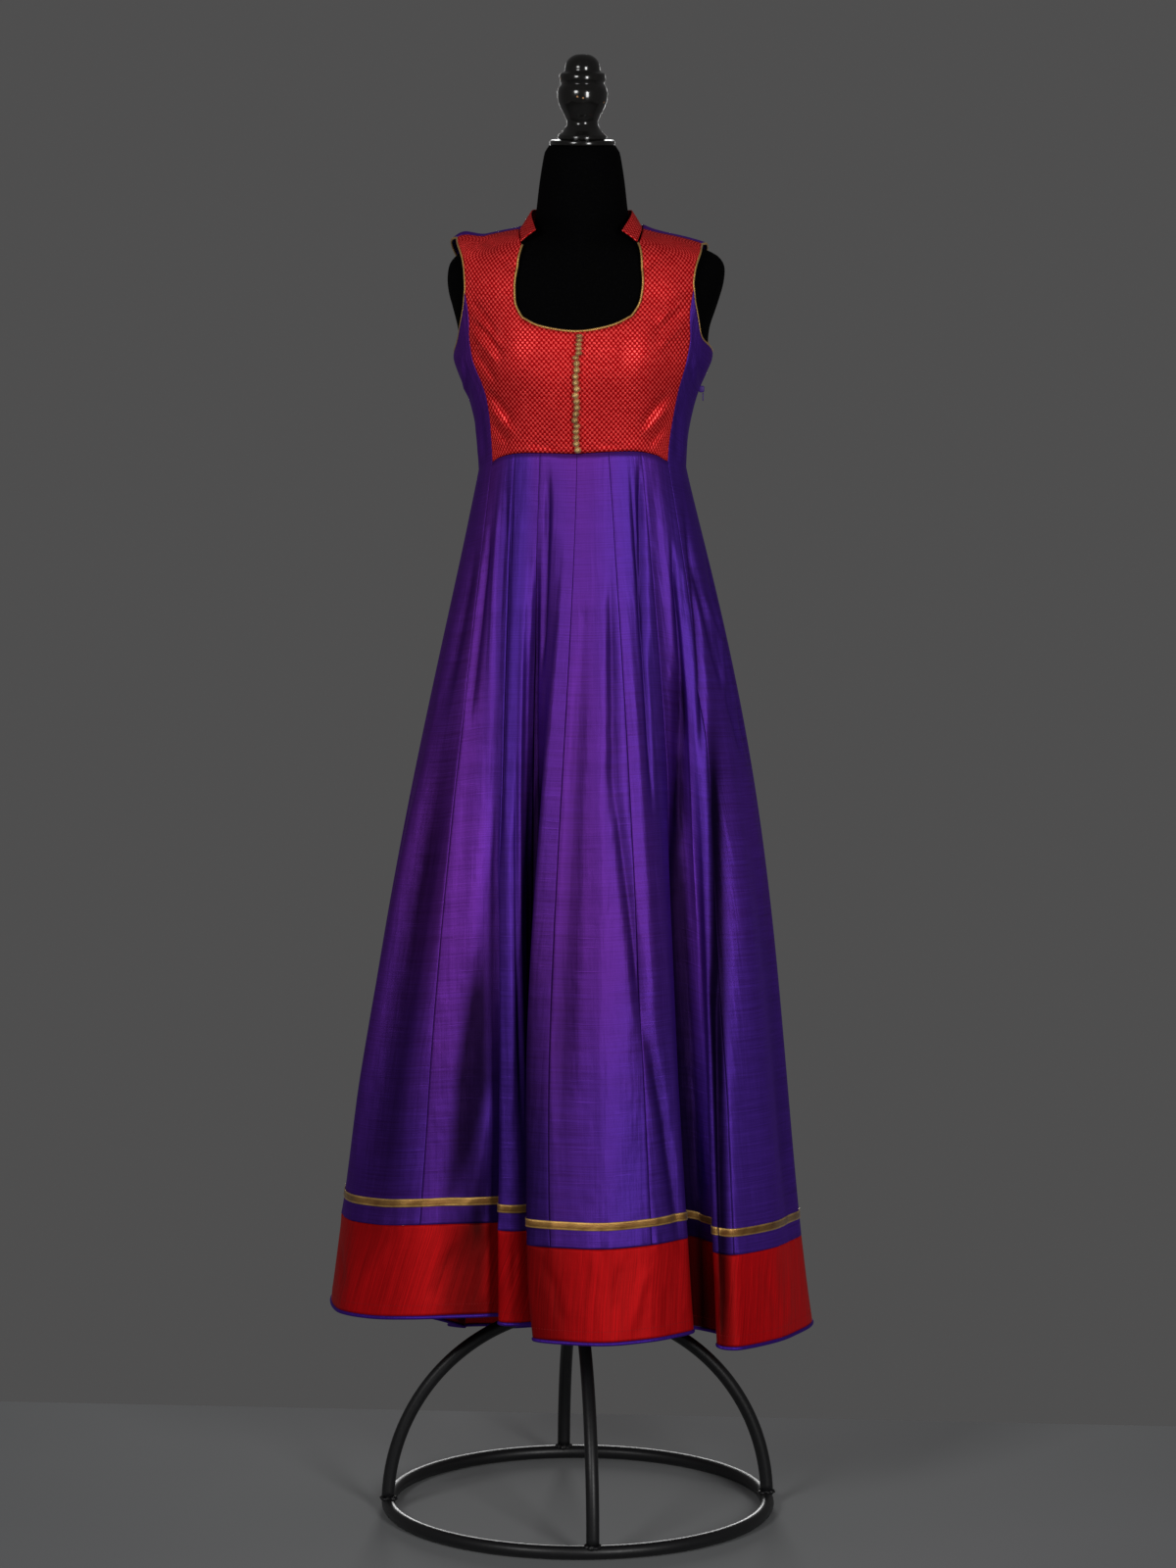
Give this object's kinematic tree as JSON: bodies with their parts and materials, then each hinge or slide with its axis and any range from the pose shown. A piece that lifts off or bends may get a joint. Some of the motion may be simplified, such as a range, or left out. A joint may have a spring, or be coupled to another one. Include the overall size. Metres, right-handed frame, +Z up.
{
  "type": "sleeveless kurti on a dress form stand",
  "caption": "Floor-length flared sleeveless kurti with a brocade yoke, standing collar and bordered hem, worn by a limbless dress form on an open ring stand.",
  "frame": {"origin": "on the floor under the pole, at the centre of the base ring", "axes": "+Z up; the form faces -Y, so +X is the wearer's left"},
  "size_m": [0.6004, 0.5145, 1.7905],
  "materials": {
    "purple_silk": "plain woven silk with fine crosswise slubs and a soft blue to magenta sheen",
    "red_silk": "slubbed red silk, satin lustre",
    "red_brocade": "brocade of small bright lozenges laid like bricks on dark red",
    "gold_trim": "dull gold tissue ribbon, piping and covered buttons",
    "zip_metal": "enamelled purple",
    "black_jersey": "matte black jersey stretched smooth",
    "black_lacquer": "gloss black lacquer with small worn chips",
    "black_iron": "satin black paint on bent iron tube"
  },
  "bodies": {
    "stand_and_garment": {"yoke_back": "purple_silk", "side_front_left": "purple_silk", "side_front_right": "purple_silk", "side_back_right": "purple_silk", "side_back_left": "purple_silk", "kali_front_1": "purple_silk", "kali_front_2": "purple_silk", "kali_front_3": "purple_silk", "kali_front_4": "purple_silk", "kali_front_5": "purple_silk", "kali_front_6": "purple_silk", "kali_back_1": "purple_silk", "kali_back_2": "purple_silk", "kali_back_3": "purple_silk", "kali_back_4": "purple_silk", "kali_back_5": "purple_silk", "kali_back_6": "purple_silk", "yoke_front": "red_brocade", "collar": "red_brocade", "hem_border_1": "red_silk", "hem_border_2": "red_silk", "hem_border_3": "red_silk", "hem_border_4": "red_silk", "ribbon": "gold_trim", "hem_piping": "purple_silk", "neck_piping": "gold_trim", "armhole_piping_left": "gold_trim", "armhole_piping_right": "gold_trim", "button_01": "gold_trim", "button_02": "gold_trim", "button_03": "gold_trim", "button_04": "gold_trim", "button_05": "gold_trim", "button_06": "gold_trim", "button_07": "gold_trim", "button_08": "gold_trim", "button_09": "gold_trim", "button_10": "gold_trim", "button_11": "gold_trim", "button_12": "gold_trim", "button_13": "gold_trim", "button_14": "gold_trim", "button_15": "gold_trim", "button_16": "gold_trim", "button_17": "gold_trim", "button_18": "gold_trim", "button_19": "gold_trim", "button_20": "gold_trim", "button_21": "gold_trim", "zip_slider": "zip_metal", "form_body": "black_jersey", "neck_cap": "black_lacquer", "finial": "black_lacquer", "pole": "black_iron", "base_ring": "black_iron", "leg_right": "black_iron", "leg_back": "black_iron", "leg_left": "black_iron", "leg_front": "black_iron"},
    "zip_pull": {"zip_pull": "zip_metal"}
  },
  "joints": [
    {"name": "zip_pull_swing", "type": "hinge", "parent": "stand_and_garment", "child": "zip_pull", "pos_m": [0.14622, 0.00255, 1.3844], "axis": [0.0174, -0.9998, 0], "range_deg": [0, 100]}
  ]
}
